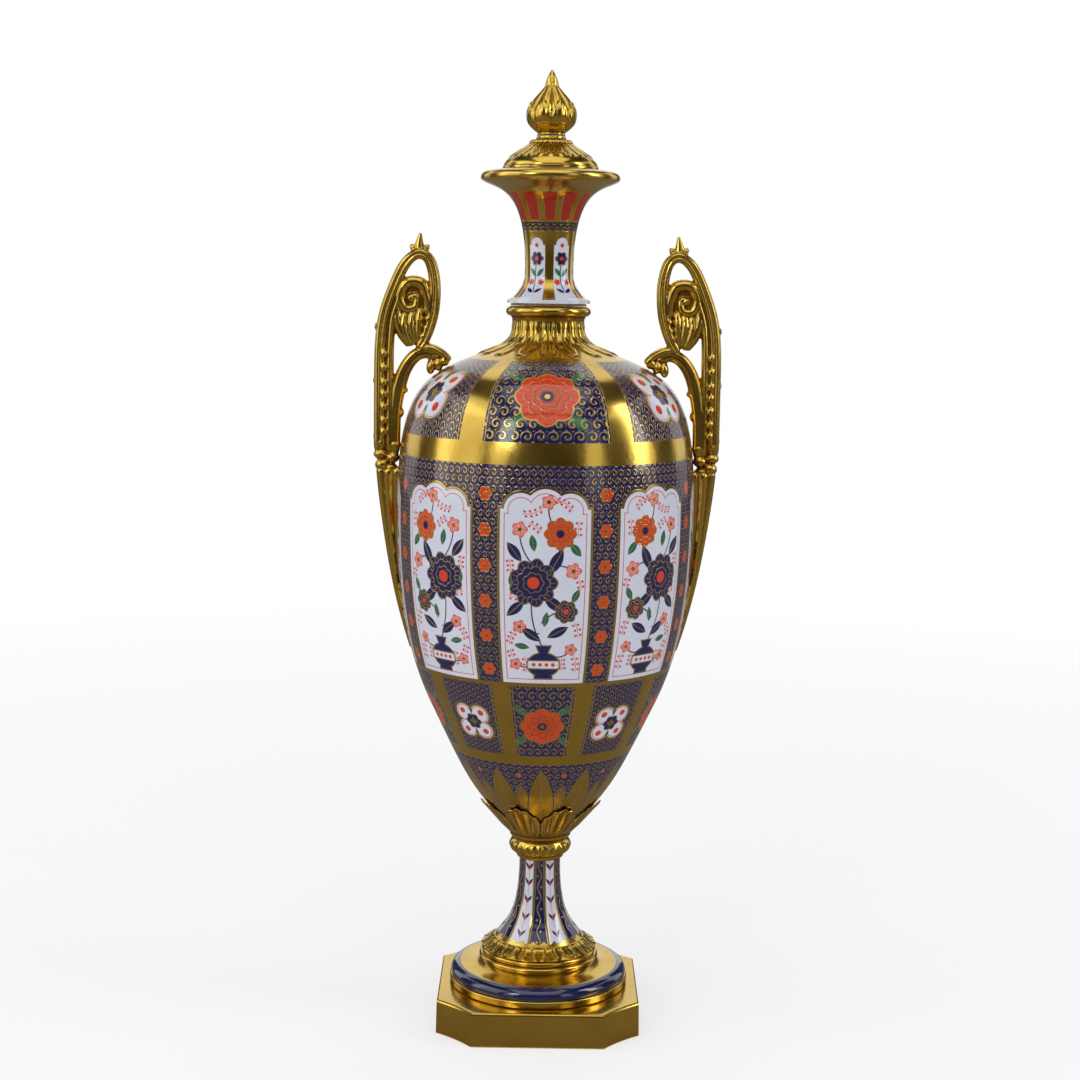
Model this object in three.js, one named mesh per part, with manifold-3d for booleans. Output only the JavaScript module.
// A covered porcelain urn on a square plinth, in millimetres, +Z up.
// The origin is the middle of the plinth's underside, the front is -Y and the handles lie along X.
// A steel rod ties plinth, foot, stem, calyx and body together; neck and cover are loose.

import * as THREE from 'three';
import { mergeVertices } from 'three/addons/utils/BufferGeometryUtils.js';
import Module from 'manifold-3d';

const wasm = await Module();
wasm.setup();

// Fits between pieces
const seatGap = 0.3;
const corkGap = 0.2;
const corkThickness = 0.8;
const corkMargin = 1;
const boreClearance = 0.7;
const spigotClearance = 0.5;
const flangeClearance = 0.5;

// Tie rod and its fastenings
const rodRadius = 3;
const rodPastNut = 1.2;
const nutAcrossFlats = 10;
const nutHeight = 4;
const nutSides = 6;
const nutClearance = 0.3;
const washerRadius = 8;
const washerThickness = 1.2;
const padRadius = 9;
const padThickness = 1.5;

// Plinth, a square with hollow cut corners, open underneath
const plinthWidth = 80.8;
const plinthFlare = 0.3;
const plinthHeight = 13.8;
const plinthEdge = 0.8;
const cornerCut = 14.2;
const cornerHollow = 0.8;
const plinthWall = 4.5;
const plinthDeck = 4;

// Foot, round mouldings stacked from the plinth up
const footMargin = 4.1;
const filletHeight = 2.9;
const cobaltInset = 0.4;
const cobaltHeight = 4.9;
const hollowInset = 5.9;
const hollowHeight = 2;
const goldStepHeight = 2.35;
const goldStepWidth = 1.1;

// Stem, a spreading column on a ring of leaves
const skirtRadius = 17.8;
const leafRingStand = 6;
const leafRingHeight = 4;
const leafRingMargin = 0.5;
const stemRise = 33.1;
const stemWaistRadius = 8.3;

// Calyx, a knop and a cup of leaves that follows the body
const knopHeight = 8.8;
const calyxFloorHeight = 10.3;
const leafCount = 8;
const leafThickness = 0.8;
const leafTipHeight = 15;
const leafNotchHeight = 8;

// Body, an ovoid shell: lower flank, belly and shoulder
const bodyBaseRadius = 12.3;
const bodyRadius = 59.1;
const flankInset = 14;
const flankRise = 52.8;
const bellyRise = 79.2;
const shoulderRise = 62.7;
const bodyWall = 4;
const bodyFloor = 8.5;

// Collar, the moulded mouth of the body
const collarBoreRadius = 10.2;
const collarWall = 3.5;
const collarWaistRise = 8.3;
const collarTopRise = 8.3;
const collarLipStand = 2.5;
const collarLipThickness = 3;
const shoulderStand = 7.6;

// Neck, a trumpet with a spigot that stands in the collar
const neckRimInset = 0.3;
const neckRimThickness = 1.4;
const neckWaistRise = 9.6;
const neckStraight = 2.7;
const neckFlareRise = 34;
const neckWall = 3.2;
const spigotWall = 3.3;
const spigotLength = 11.7;
const mouthRadius = 15.1;
const mouthDepth = 8;
const mouthTaper = 19;
const lipFlatWidth = 5.3;
const lipSlopeWidth = 6.8;
const lipBulge = 0.3;
const lipThickness = 3.1;
const lipCrown = 0.6;

// Cover, a hollow dome with a flange that hangs in the mouth
const coverOverlap = 3.7;
const coverBrim = 1.2;
const domeRise = 8.6;
const domeTopRadius = 9.2;
const coverStepRise = 2.8;
const coverTopMargin = 0.1;
const flangeLength = 5.7;
const flangeWall = 2.2;
const domeCrown = 5;

// Finial, a lobed bud with a spike
const finialBaseRadius = 5.4;
const finialNeckRise = 1.6;
const budRadius = 9.7;
const budUnderRise = 6.6;
const budOverRise = 10.7;
const budTopRadius = 2.9;
const spikeRise = 6.5;
const budLobes = 8;
const lobeDepth = 0.9;

// Handles, outwards from the body's widest radius and up from its widest level
const uprightStand = 7.1;
const strandRadius = 2.4;
const handleHalfDepth = 3.2;
const innerStrandInset = 3.2;
const innerStrandRadius = 1.7;
const bracketRise = 18.5;
const bracketRadius = 3.4;
const beadRadius = 2.3;
const beadWidth = 0.77;
const beadStretch = 1.4;
const beadDepth = 1.2;
const legInset = 5.6;
const legRadius = 3.6;
const archRadius = 2.5;
const archRise = 9.3;
const curlInset = 24.8;
const curlRadius = 2.4;
const loopInset = 13.4;
const loopHalfWidth = 7.6;
const loopRise = 37.2;
const loopStrandRadius = 2.5;
const leafTipLength = 9.6;
const rosetteRadius = 6.2;
const tailDrop = 58.6;
const tailStand = 10.4;
const tailEndStand = 0.7;
const tailHalfWidth = 4.2;
const tailEndHalfWidth = 1.4;

// Fineness
const bodySides = 36;
const turnedSides = 24;
const ringSides = 16;
const pointsPerLeaf = 4;
const pointsPerLobe = 4;

// Colours, with roughness and metalness
const gold = { color: 0xb8923a, roughness: 0.25, metalness: 1 };
const china = { color: 0xe9e8ee, roughness: 0.15, metalness: 0 };
const cobalt = { color: 0x1a1c4e, roughness: 0.15, metalness: 0 };
const steel = { color: 0x9a9a98, roughness: 0.4, metalness: 1 };
const cork = { color: 0xa5825a, roughness: 0.9, metalness: 0 };

// Heights, each piece standing on the one below
const corkSpace = corkThickness + 2 * corkGap;
const corkRecess = corkSpace - seatGap;
const footBase = plinthHeight + seatGap;
const cobaltBase = footBase + filletHeight;
const hollowBase = cobaltBase + cobaltHeight;
const goldStepBase = hollowBase + hollowHeight;
const footTop = goldStepBase + 2 * goldStepHeight;
const stemBase = footTop + seatGap;
const skirtBase = stemBase + leafRingHeight;
const stemTop = skirtBase + stemRise;
const calyxBase = stemTop + seatGap;
const calyxFloor = calyxBase + calyxFloorHeight;
const bodyBase = calyxFloor + corkSpace;
const flankTop = bodyBase + flankRise;
const bellyTop = flankTop + bellyRise;
const shoulderTop = bellyTop + shoulderRise;
const collarWaist = shoulderTop + collarWaistRise;
const collarTop = collarWaist + collarTopRise;
const neckBase = collarTop + corkSpace;
const neckWaist = neckBase + neckRimThickness + neckWaistRise;
const flareBase = neckWaist + neckStraight;
const lipBase = flareBase + neckFlareRise;
const neckTop = lipBase + lipThickness + lipCrown;
const coverBase = neckTop + seatGap;
const domeBase = coverBase + coverBrim;
const domeTop = domeBase + domeRise;
const coverTop = domeTop + coverStepRise;
const finialBase = coverTop + seatGap;

// Radii that follow from their neighbours
const boreRadius = rodRadius + boreClearance;
const footRadius = plinthWidth / 2 - footMargin;
const hollowRadius = footRadius - hollowInset;
const footRecessRadius = footRadius - 3 * corkMargin;
const leafRingRadius = skirtRadius + leafRingStand;
const upperStepRadius = leafRingRadius - leafRingMargin;
const lowerStepRadius = upperStepRadius + goldStepWidth;
const stemRecessRadius = skirtRadius - 3 * corkMargin;
const calyxRecessRadius = stemWaistRadius - corkMargin;
const flankRadius = bodyRadius - flankInset;
const collarWaistRadius = collarBoreRadius + collarWall;
const collarLipRadius = collarWaistRadius + collarLipStand;
const shoulderRadius = collarWaistRadius + shoulderStand;
const neckRimRadius = collarLipRadius - neckRimInset;
const spigotRadius = collarBoreRadius - spigotClearance;
const neckBoreRadius = spigotRadius - spigotWall;
const neckWaistRadius = neckBoreRadius + neckWall;
const lipCrestRadius = mouthRadius + lipFlatWidth;
const lipRadius = lipCrestRadius + lipSlopeWidth;
const brimRadius = mouthRadius + coverOverlap;
const flangeRadius = mouthRadius - flangeClearance;
const coverTopRadius = finialBaseRadius + coverTopMargin;

// Geometry helpers
const at = (radius, height) => new THREE.Vector2(radius, height);
const mix = THREE.MathUtils.lerp;
const between = (low, high, across, up) => at(mix(low.x, high.x, across), mix(low.y, high.y, up));

function bezier(steps, ...controls) {
  const Kind = controls.length === 3 ? THREE.QuadraticBezierCurve : THREE.CubicBezierCurve;
  return new Kind(...controls).getPoints(steps);
}

function roundedEdge(centre, radius, fromDegrees, toDegrees, steps) {
  return Array.from({ length: steps + 1 }, (_, i) => {
    const angle = THREE.MathUtils.degToRad(mix(fromDegrees, toDegrees, i / steps));
    return at(centre.x + radius * Math.cos(angle), centre.y + radius * Math.sin(angle));
  });
}

// Merges shared corners and leaves out faces that shrink to a line.
function welded(geometry) {
  geometry.deleteAttribute('normal');
  geometry.deleteAttribute('uv');
  const merged = mergeVertices(geometry);
  const corners = merged.index.array;
  const kept = [];
  for (let i = 0; i < corners.length; i += 3) {
    const [a, b, c] = corners.slice(i, i + 3);
    if (a !== b && b !== c && c !== a) {
      kept.push(a, b, c);
    }
  }
  merged.setIndex(kept);
  return merged;
}

// A solid of revolution: the outline runs up the outside, then down the inside or the axis.
function turned(outline, sides = turnedSides) {
  const geometry = new THREE.LatheGeometry([...outline, outline[0]], sides);
  geometry.rotateX(Math.PI / 2);
  return welded(geometry);
}

// Joins rings of points into one closed skin; a ring of one point closes an end.
function skin(rings, joinEnds = false) {
  const starts = [];
  const positions = [];
  for (const ring of rings) {
    starts.push(positions.length / 3);
    for (const point of ring) {
      positions.push(point.x, point.y, point.z);
    }
  }
  const index = [];
  const bands = joinEnds ? rings.length : rings.length - 1;
  for (let i = 0; i < bands; i += 1) {
    const j = (i + 1) % rings.length;
    const lower = rings[i].length;
    const upper = rings[j].length;
    for (let k = 0; k < Math.max(lower, upper); k += 1) {
      const a = starts[i] + (k % lower);
      const b = starts[i] + ((k + 1) % lower);
      const c = starts[j] + ((k + 1) % upper);
      const d = starts[j] + (k % upper);
      if (a !== b) {
        index.push(a, b, c);
      }
      if (c !== d) {
        index.push(a, c, d);
      }
    }
  }
  const geometry = new THREE.BufferGeometry();
  geometry.setAttribute('position', new THREE.Float32BufferAttribute(positions, 3));
  geometry.setIndex(index);
  return facingOut(geometry);
}

// Turns the faces round when they enclose a negative volume.
function facingOut(geometry) {
  const position = geometry.attributes.position;
  const index = geometry.index.array;
  const [a, b, c] = [new THREE.Vector3(), new THREE.Vector3(), new THREE.Vector3()];
  let volume = 0;
  for (let i = 0; i < index.length; i += 3) {
    a.fromBufferAttribute(position, index[i]);
    b.fromBufferAttribute(position, index[i + 1]);
    c.fromBufferAttribute(position, index[i + 2]);
    volume += a.dot(b.cross(c));
  }
  if (volume < 0) {
    geometry.setIndex([...index].reverse());
  }
  return geometry;
}

// A ring of points round the axis; the radius and height may change with the turn from 0 to 1.
function ringOf(count, radiusAt, heightAt) {
  return Array.from({ length: count }, (_, k) => {
    const turn = k / count;
    const angle = turn * Math.PI * 2;
    const radius = radiusAt(turn);
    return new THREE.Vector3(radius * Math.cos(angle), radius * Math.sin(angle), heightAt(turn));
  });
}

function toSolid(geometry) {
  const mesh = new wasm.Mesh({
    numProp: 3,
    vertProperties: new Float32Array(geometry.attributes.position.array),
    triVerts: new Uint32Array(geometry.index.array),
  });
  return new wasm.Manifold(mesh);
}

function toGeometry(solid) {
  const mesh = solid.getMesh();
  const geometry = new THREE.BufferGeometry();
  geometry.setAttribute('position', new THREE.BufferAttribute(mesh.vertProperties, 3));
  geometry.setIndex(new THREE.BufferAttribute(mesh.triVerts, 1));
  return geometry;
}

// Plinth: one ring of points per edge, all with the same number of points
function plinthRing(halfWidth, height) {
  const sideSteps = 3;
  const reach = halfWidth - cornerCut;
  const hollow = halfWidth - cornerCut / 2 - cornerHollow * Math.SQRT2;
  const quarter = [];
  for (let i = 0; i < sideSteps; i += 1) {
    quarter.push(at(halfWidth, mix(-reach, reach, i / sideSteps)));
  }
  const cut = bezier(sideSteps, at(halfWidth, reach), at(hollow, hollow), at(reach, halfWidth));
  quarter.push(...cut.slice(0, -1));
  const ring = [];
  for (let turn = 0; turn < 4; turn += 1) {
    for (const point of quarter) {
      const spot = point.clone().rotateAround(at(0, 0), (turn * Math.PI) / 2);
      ring.push(new THREE.Vector3(spot.x, spot.y, height));
    }
  }
  return ring;
}

function makePlinth() {
  const topHalf = plinthWidth / 2;
  const bottomHalf = topHalf + plinthFlare;
  const bottom = plinthRing(bottomHalf, 0);
  const ceiling = plinthHeight - plinthDeck;
  const boreAt = (height) => bottom.map((point) => {
    const angle = Math.atan2(point.y, point.x);
    return new THREE.Vector3(boreRadius * Math.cos(angle), boreRadius * Math.sin(angle), height);
  });
  return skin([
    bottom,
    plinthRing(topHalf, plinthHeight - plinthEdge),
    plinthRing(topHalf - plinthEdge, plinthHeight),
    boreAt(plinthHeight),
    boreAt(ceiling),
    plinthRing(topHalf - plinthWall, ceiling),
    plinthRing(bottomHalf - plinthWall, 0),
  ], true);
}

function makeFoot() {
  const cobaltRadius = footRadius - cobaltInset;
  const cobaltMiddle = mix(cobaltBase, hollowBase, 0.35);
  const upperStepBase = goldStepBase + goldStepHeight;
  const step = (radius, base) => [
    at(radius - goldStepWidth, base),
    at(radius, base + goldStepHeight / 3),
    at(radius, base + goldStepHeight * 0.8),
  ];
  return turned([
    at(footRadius, footBase),
    at(footRadius, cobaltBase),
    at(cobaltRadius - cobaltInset, cobaltBase),
    ...bezier(5, at(cobaltRadius, cobaltMiddle), at(cobaltRadius, hollowBase),
      at(hollowRadius, hollowBase)),
    ...bezier(3, at(hollowRadius, hollowBase), at(mix(lowerStepRadius, hollowRadius, 0.4), hollowBase),
      at(lowerStepRadius - goldStepWidth, goldStepBase)).slice(1, -1),
    ...step(lowerStepRadius, goldStepBase),
    ...step(upperStepRadius, upperStepBase),
    at(upperStepRadius - goldStepWidth, footTop),
    at(boreRadius, footTop),
    at(boreRadius, footBase + corkRecess),
    at(footRecessRadius, footBase + corkRecess),
    at(footRecessRadius, footBase),
  ]);
}

function makeStem() {
  const skirt = at(skirtRadius, skirtBase);
  const waist = at(stemWaistRadius, stemTop);
  const leafEdge = at(leafRingRadius, stemBase + leafRingHeight * 0.15);
  const leafTop = at(skirtRadius + leafRingStand / 12, skirtBase);
  return turned([
    at(leafRingRadius - leafRingStand / 6, stemBase),
    ...bezier(3, leafEdge, between(leafTop, leafEdge, 0.8, 0.45), leafTop),
    ...bezier(9, skirt, between(waist, skirt, 0.55, 0.8), between(waist, skirt, 0, 0.75), waist),
    at(boreRadius, stemTop),
    at(boreRadius, stemBase + corkRecess),
    at(stemRecessRadius, stemBase + corkRecess),
    at(stemRecessRadius, stemBase),
  ]);
}

// Body: the outside as one row of points, from the base to the shoulder's end
const bodyFoot = at(bodyBaseRadius, bodyBase);
const flank = at(flankRadius, flankTop);
const belly = at(bodyRadius, bellyTop);
const shoulder = at(shoulderRadius, shoulderTop);
const flankPull = between(bodyFoot, flank, 0.52, 0.37);
const bellyShare = (0.84 * flankInset) / (flank.x - flankPull.x);
const bellyPull = flank.clone().addScaledVector(flank.clone().sub(flankPull), bellyShare);
const ovoid = [
  ...bezier(5, bodyFoot, flankPull, flankPull, flank),
  ...bezier(6, flank, bellyPull, between(flank, belly, 1, 0.64), belly).slice(1),
  ...bezier(8, belly, between(belly, shoulder, 0, 0.65), between(belly, shoulder, 0.29, 0.82),
    shoulder).slice(1),
];

function bodyRadiusAt(height) {
  const above = ovoid.findIndex((point) => point.y >= height);
  if (above < 1) {
    return above === 0 ? bodyBaseRadius : shoulderRadius;
  }
  const [low, high] = [ovoid[above - 1], ovoid[above]];
  return THREE.MathUtils.mapLinear(height, low.y, high.y, low.x, high.x);
}

function shoulderHeightAt(radius) {
  const inside = ovoid.findIndex((point) => point.y > bellyTop && point.x <= radius);
  const [low, high] = [ovoid[inside - 1], ovoid[inside]];
  return THREE.MathUtils.mapLinear(radius, low.x, high.x, low.y, high.y);
}

// The outside moved square to itself, outwards for a positive distance.
function offsetOvoid(distance) {
  return ovoid.map((point, i) => {
    const before = ovoid[Math.max(i - 1, 0)];
    const after = ovoid[Math.min(i + 1, ovoid.length - 1)];
    const along = after.clone().sub(before).normalize();
    return at(point.x + along.y * distance, point.y - along.x * distance);
  });
}

function makeBody() {
  const lipBottom = collarTop - collarLipThickness;
  const halfLip = collarLipThickness / 2;
  const floor = bodyBase + bodyFloor;
  const wall = offsetOvoid(-bodyWall).filter((point) => point.y > floor + bodyWall);
  const inside = wall.filter((point, i) => i % 3 === 0 || i === wall.length - 1).reverse();
  const waist = at(collarWaistRadius, collarWaist);
  return turned([
    ...ovoid,
    ...bezier(3, shoulder, between(shoulder, waist, 1, 0.3), waist).slice(1),
    at(collarLipRadius - halfLip, lipBottom),
    ...roundedEdge(at(collarLipRadius - halfLip, lipBottom + halfLip), halfLip, -45, 90, 3),
    at(collarBoreRadius, collarTop),
    at(collarBoreRadius, inside[0].y + bodyWall / 2),
    ...inside,
    at(bodyRadiusAt(floor) - 1.3 * bodyWall, floor),
    at(boreRadius, floor),
    at(boreRadius, bodyBase),
  ], bodySides);
}

// Calyx: the cup's wall follows the body's cone, and its edge rises to a point on each leaf
function makeCalyx() {
  const round = (radius, height) => ringOf(leafCount * pointsPerLeaf, () => radius, () => height);
  const leafRing = (share, thickness) => {
    const fromTip = (turn) => Math.abs(((turn * leafCount) % 1) - 0.5) * 2;
    const edge = (turn) => mix(leafTipHeight, leafNotchHeight, fromTip(turn) ** 1.5);
    const heightAt = (turn) => bodyBase + edge(turn) * share;
    const radiusAt = (turn) => (
      bodyRadiusAt(heightAt(turn)) + seatGap + thickness * (1 - fromTip(turn) / 2)
    );
    return ringOf(leafCount * pointsPerLeaf, radiusAt, heightAt);
  };
  return skin([
    round(stemWaistRadius, calyxBase),
    round(mix(stemWaistRadius, bodyBaseRadius, 0.5), calyxBase + knopHeight / 2),
    round(bodyBaseRadius, calyxBase + knopHeight * 0.88),
    round(bodyBaseRadius - leafThickness / 2, calyxBase + knopHeight),
    leafRing(0, leafThickness * 1.3),
    leafRing(0.45, leafThickness * 1.2),
    leafRing(1, leafThickness * 0.8),
    leafRing(1, 0),
    leafRing(0.5, 0),
    leafRing(0, 0),
    round(bodyBaseRadius + seatGap, calyxFloor),
    round(boreRadius, calyxFloor),
    round(boreRadius, calyxBase + corkRecess),
    round(calyxRecessRadius, calyxBase + corkRecess),
    round(calyxRecessRadius, calyxBase),
  ], true);
}

function makeNeck() {
  const rim = at(neckRimRadius, neckBase + neckRimThickness);
  const waist = at(neckWaistRadius, neckWaist);
  const flare = at(neckWaistRadius, flareBase);
  const lip = at(lipRadius, lipBase);
  const mouthBase = neckTop - mouthDepth;
  const mouth = at(mouthRadius, mouthBase);
  const bore = at(neckBoreRadius, mouthBase - mouthTaper);
  return turned([
    at(neckRimRadius, neckBase),
    rim,
    ...bezier(4, between(waist, rim, 0.75, 0.9), between(waist, rim, 0, 0.5), waist),
    ...bezier(8, flare, between(flare, lip, 0, 0.98), between(flare, lip, 0.7, 0.88), lip),
    at(lipRadius + lipBulge, lipBase + lipThickness / 2),
    at(lipRadius - lipThickness / 2, lipBase + lipThickness),
    at(lipCrestRadius, neckTop),
    at(mouthRadius, neckTop),
    ...bezier(4, mouth, between(bore, mouth, 0, 0.67), bore),
    at(neckBoreRadius, neckBase - spigotLength),
    at(spigotRadius, neckBase - spigotLength),
    at(spigotRadius, neckBase),
  ]);
}

function makeCover() {
  const insideRadius = flangeRadius - flangeWall;
  const crown = at(0, coverTop - domeCrown);
  const spring = at(insideRadius, coverBase + coverBrim);
  const dome = at(brimRadius, domeBase);
  const step = at(domeTopRadius, domeTop);
  const top = at(coverTopRadius, coverTop);
  return turned([
    at(brimRadius, coverBase),
    ...bezier(5, dome, between(step, dome, 0.88, 0.67), step),
    between(step, top, 0.8, 0.5),
    top,
    at(0, coverTop),
    ...bezier(3, crown, between(spring, crown, 0.1, 0.9), spring),
    at(insideRadius, coverBase - flangeLength),
    at(flangeRadius, coverBase - flangeLength),
    at(flangeRadius, coverBase),
  ]);
}

function makeFinial() {
  const ring = (point, depth) => ringOf(budLobes * pointsPerLobe, (turn) => (
    point.x - (depth * (1 - Math.cos(turn * budLobes * Math.PI * 2))) / 2
  ), () => point.y);
  const neck = at(finialBaseRadius, finialBase + finialNeckRise);
  const widest = at(budRadius, neck.y + budUnderRise);
  const budTop = at(budTopRadius, widest.y + budOverRise);
  const tip = at(0, budTop.y + spikeRise);
  const under = bezier(3, neck, between(neck, widest, 0, 0.42), between(neck, widest, 1, 0.2), widest);
  const over = bezier(4, widest, between(widest, budTop, 0, 0.34), between(widest, budTop, 0.53, 0.52),
    budTop).slice(1);
  const axisPoint = (height) => [new THREE.Vector3(0, 0, height)];
  return skin([
    axisPoint(finialBase),
    ring(at(finialBaseRadius, finialBase), 0),
    ...under.map((point, i) => ring(point, (lobeDepth * i) / 3)),
    ...over.map((point, i) => ring(point, lobeDepth * (1 - (i + 1) / 4))),
    ring(between(budTop, tip, 0.25, 0.55), 0),
    ring(between(budTop, tip, 0.6, 0.83), 0),
    axisPoint(tip.y),
  ]);
}

// Handle on the +X side, drawn in the XZ plane: strands, beads and a tail joined together
const widestReach = bodyRadius + uprightStand;
const bracket = bellyTop + bracketRise;
const loopReach = widestReach - loopInset;
const curlReach = widestReach - curlInset;
const archTop = shoulderHeightAt(curlReach) + archRise;
const loopTop = archTop + loopRise;

// A strand along a curve, with an oval section whose half width may change from end to end.
function strand(points, halfWidthAt, halfDepth, steps, sides = 8) {
  const curve = new THREE.SplineCurve(points);
  const rings = [];
  for (let i = 0; i <= steps; i += 1) {
    const share = i / steps;
    const centre = curve.getPoint(share);
    const along = curve.getTangent(share);
    rings.push(Array.from({ length: sides }, (_, k) => {
      const angle = (k / sides) * Math.PI * 2;
      const across = halfWidthAt(share) * Math.cos(angle);
      const side = halfDepth * Math.sin(angle);
      return new THREE.Vector3(centre.x - along.y * across, side, centre.y + along.x * across);
    }));
  }
  const cap = (share) => [new THREE.Vector3(curve.getPoint(share).x, 0, curve.getPoint(share).y)];
  return skin([cap(0), ...rings, cap(1)]);
}

function bead(reach, height, radius, stretch = 1, depth = 1) {
  const geometry = new THREE.SphereGeometry(radius, 8, 5);
  geometry.rotateX(Math.PI / 2);
  geometry.scale(1, depth, stretch);
  geometry.translate(reach, 0, height);
  return welded(geometry);
}

function makeStrands() {
  const even = (value) => () => value;
  const loopSide = loopTop - loopHalfWidth;
  const outer = [
    at(widestReach, bracket),
    at(widestReach, archTop + strandRadius),
    at(widestReach - 0.2 * loopInset, mix(archTop, loopTop, 0.47)),
    at(loopReach + loopHalfWidth, loopSide),
    at(loopReach + loopHalfWidth * 0.6, loopTop - strandRadius / 2),
    at(loopReach, loopTop),
    at(loopReach - loopHalfWidth * 0.7, loopTop - strandRadius),
    at(loopReach - loopHalfWidth, loopSide - strandRadius),
    at(loopReach - loopHalfWidth * 0.85, mix(archTop, loopTop, 0.32)),
    at(loopReach - loopHalfWidth * 0.4, archTop + strandRadius),
  ];
  const inner = [
    at(widestReach - innerStrandInset, bracket),
    at(widestReach - innerStrandInset, archTop + strandRadius),
    at(widestReach - innerStrandInset * 1.3, mix(archTop, loopTop, 0.4)),
  ];
  const legReach = widestReach - legInset;
  const arch = [
    at(legReach, bracket),
    at(legReach - archRadius * 0.5, mix(bracket, archTop, 0.6)),
    at(mix(legReach, curlReach, 0.3), mix(bracket, archTop, 0.89)),
    at(mix(legReach, curlReach, 0.64), archTop),
    at(mix(legReach, curlReach, 0.88), archTop - curlRadius / 2),
    at(curlReach, archTop - curlRadius * 2),
  ];
  const leaf = [at(loopReach, loopTop), at(loopReach - curlRadius / 2, loopTop + leafTipLength)];
  const loopWidth = (share) => mix(strandRadius, loopStrandRadius, Math.min(share * 2, 1));
  return [
    strand(outer, loopWidth, handleHalfDepth, 24),
    strand(inner, even(innerStrandRadius), handleHalfDepth * 0.75, 6, 6),
    strand(arch, (share) => mix(legRadius, archRadius, share), handleHalfDepth * 0.9, 13),
    strand(leaf, (share) => mix(loopStrandRadius * 1.4, innerStrandRadius / 4, share),
      handleHalfDepth / 2, 3, 6),
  ];
}

function makeBeads() {
  const upright = [0.2, 0.5, 0.66, 0.95].map((share) => (
    bead(widestReach + strandRadius - beadRadius / 2, mix(bracket, archTop, share),
      beadRadius * beadWidth, beadStretch, beadDepth)
  ));
  const rosette = [[0.3, 0.6, 1], [1.6, 0.36, 0.95], [2, 0.15, 0.7]].map(([shift, share, size]) => (
    bead(loopReach + shift, mix(archTop, loopTop, share), rosetteRadius * size, 1, 0.65)
  ));
  const curl = [[-0.8, 1.8], [0.2, 1.1], [1.4, 1.2]].map(([shift, lift]) => {
    const reach = curlReach + shift * curlRadius;
    return bead(reach, shoulderHeightAt(curlReach) + lift * curlRadius, curlRadius, 1, 1.3);
  });
  return [
    ...upright,
    ...rosette,
    ...curl,
    bead(widestReach - strandRadius / 2, bracket, bracketRadius, 0.8, 1.1),
    bead(widestReach - legInset, bracket, bracketRadius, 0.8, 1.2),
  ];
}

// The tail lies along the body below the bracket and thins out downwards.
function makeTail() {
  const steps = 9;
  const end = bellyTop - tailDrop;
  const buried = -bodyWall / 2;
  const rings = Array.from({ length: steps + 1 }, (_, i) => {
    const share = i / steps;
    const height = mix(end, bracket, share);
    const surface = bodyRadiusAt(height);
    const stand = mix(tailEndStand, tailStand, share ** 1.3);
    const half = mix(tailEndHalfWidth, tailHalfWidth, share);
    const section = [[buried, -half], [stand * 0.6, -half], [stand, -half * 0.35],
      [stand, half * 0.35], [stand * 0.6, half], [buried, half]];
    return section.map(([out, side]) => new THREE.Vector3(surface + out, side, height));
  });
  const cap = (height) => [new THREE.Vector3(bodyRadiusAt(height), 0, height)];
  return skin([cap(end), ...rings, cap(bracket)]);
}

function makeHandle() {
  const pieces = [makeTail(), ...makeStrands(), ...makeBeads()];
  const joined = pieces.map(toSolid).reduce((sum, piece) => sum.add(piece));
  const swollen = turned([at(0, bodyBase), ...offsetOvoid(seatGap), at(0, shoulderTop)], bodySides);
  return toGeometry(joined.subtract(toSolid(swollen)));
}

// Small parts
function makeRing(innerRadius, outerRadius, base, thickness) {
  return turned([
    at(outerRadius, base),
    at(outerRadius, base + thickness),
    at(innerRadius, base + thickness),
    at(innerRadius, base),
  ], ringSides);
}

function makeNut(base) {
  const cornerRadius = nutAcrossFlats / 2 / Math.cos(Math.PI / nutSides);
  const corners = Array.from({ length: nutSides }, (_, i) => {
    const angle = (i * Math.PI * 2) / nutSides;
    return at(cornerRadius * Math.cos(angle), cornerRadius * Math.sin(angle));
  });
  const outline = new THREE.Shape(corners);
  const hole = new THREE.Path();
  hole.absarc(0, 0, rodRadius + nutClearance, 0, Math.PI * 2, true);
  outline.holes.push(hole);
  const geometry = new THREE.ExtrudeGeometry(outline, {
    depth: nutHeight, bevelEnabled: false, curveSegments: 8, steps: 1,
  });
  geometry.translate(0, 0, base);
  return welded(geometry);
}

function makeRod(base, top) {
  const geometry = new THREE.CylinderGeometry(rodRadius, rodRadius, top - base, ringSides);
  geometry.rotateX(Math.PI / 2);
  geometry.translate(0, 0, (base + top) / 2);
  return geometry;
}

// Assembly
const urn = new THREE.Group();

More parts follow.
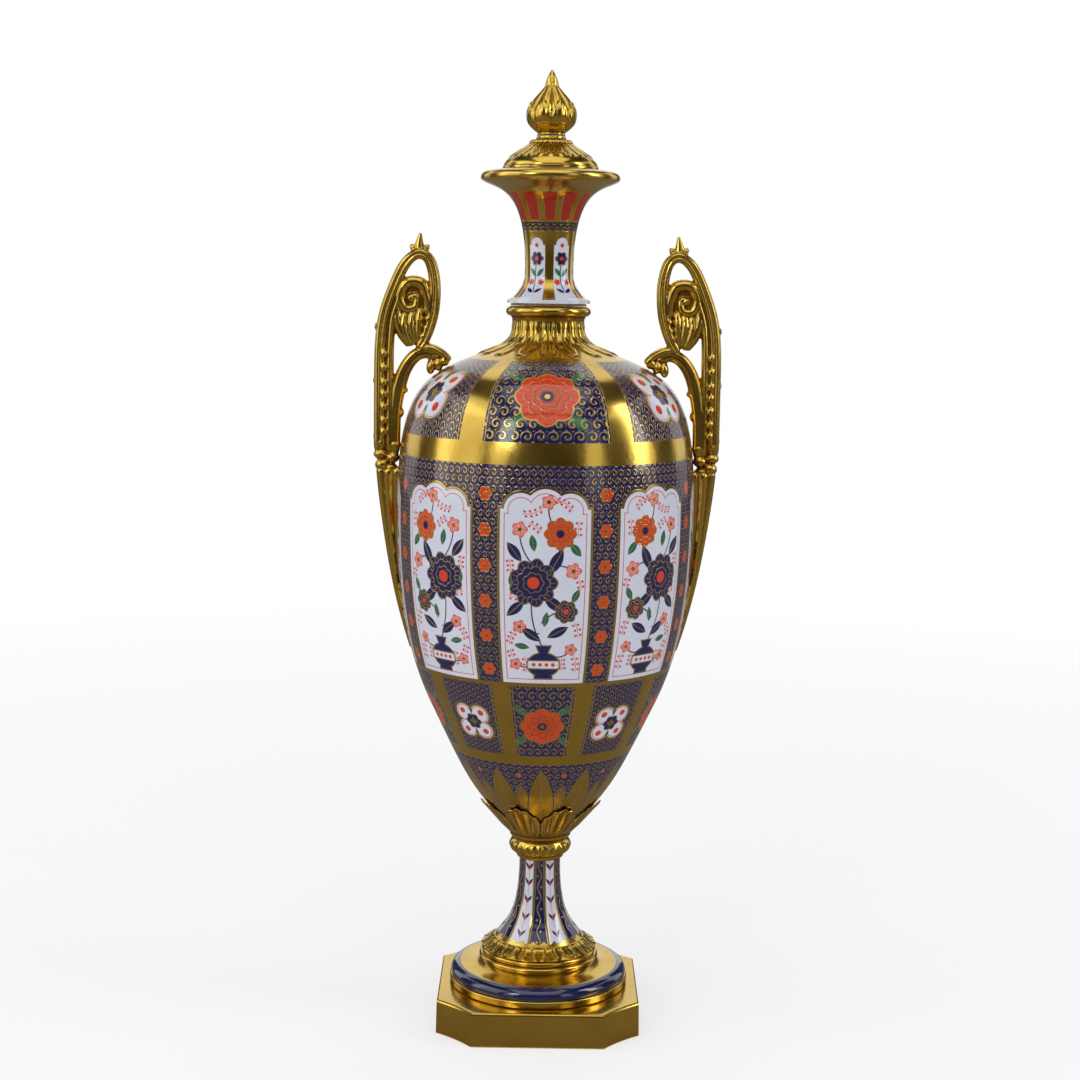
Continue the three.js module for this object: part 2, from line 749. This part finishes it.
function add(name, geometry, finish) {
  const mesh = new THREE.Mesh(geometry, new THREE.MeshStandardMaterial(finish));
  mesh.name = name;
  urn.add(mesh);
  return mesh;
}

add('plinth', makePlinth(), gold);
add('foot', makeFoot(), cobalt);
add('stem', makeStem(), china);
add('calyx', makeCalyx(), gold);
add('body', makeBody(), china);
add('neck', makeNeck(), china);
add('cover', makeCover(), gold);
add('finial', makeFinial(), gold);

const handleGeometry = makeHandle();
add('handle_right', handleGeometry, gold);
add('handle_left', handleGeometry.clone(), gold).rotation.z = Math.PI;

// Cork rings in the joints, and one in the seam under the neck
const corkBore = boreRadius + seatGap;
const addCork = (name, innerRadius, outerRadius, faceBelow) => (
  add(name, makeRing(innerRadius, outerRadius - corkMargin, faceBelow + corkGap, corkThickness), cork)
);
addCork('plinth_gasket', corkBore, footRecessRadius, plinthHeight);
addCork('stem_gasket', corkBore, stemRecessRadius, footTop);
addCork('calyx_gasket', corkBore, calyxRecessRadius, stemTop);
addCork('body_gasket', corkBore, bodyBaseRadius, calyxFloor);
addCork('neck_ring', collarBoreRadius, neckRimRadius, collarTop);

// Fastenings under the plinth's deck, from the deck down
const lowerPad = plinthHeight - plinthDeck - corkGap - padThickness;
const lowerWasher = lowerPad - corkGap - washerThickness;
const lowerNut = lowerWasher - corkGap - nutHeight;
const washerBore = rodRadius + nutClearance;
add('plinth_cork', makeRing(corkBore, padRadius, lowerPad, padThickness), cork);
add('plinth_washer', makeRing(washerBore, washerRadius, lowerWasher, washerThickness), steel);
add('plinth_nut', makeNut(lowerNut), steel);

// Fastenings on the body's floor, from the floor up
const upperPad = bodyBase + bodyFloor + corkGap;
const upperWasher = upperPad + padThickness + corkGap;
const upperNut = upperWasher + washerThickness + corkGap;
add('body_cork', makeRing(corkBore, padRadius, upperPad, padThickness), cork);
add('body_washer', makeRing(washerBore, washerRadius, upperWasher, washerThickness), steel);
add('body_nut', makeNut(upperNut), steel);

add('tie_rod', makeRod(lowerNut - rodPastNut, upperNut + nutHeight + rodPastNut), steel);

export default urn;
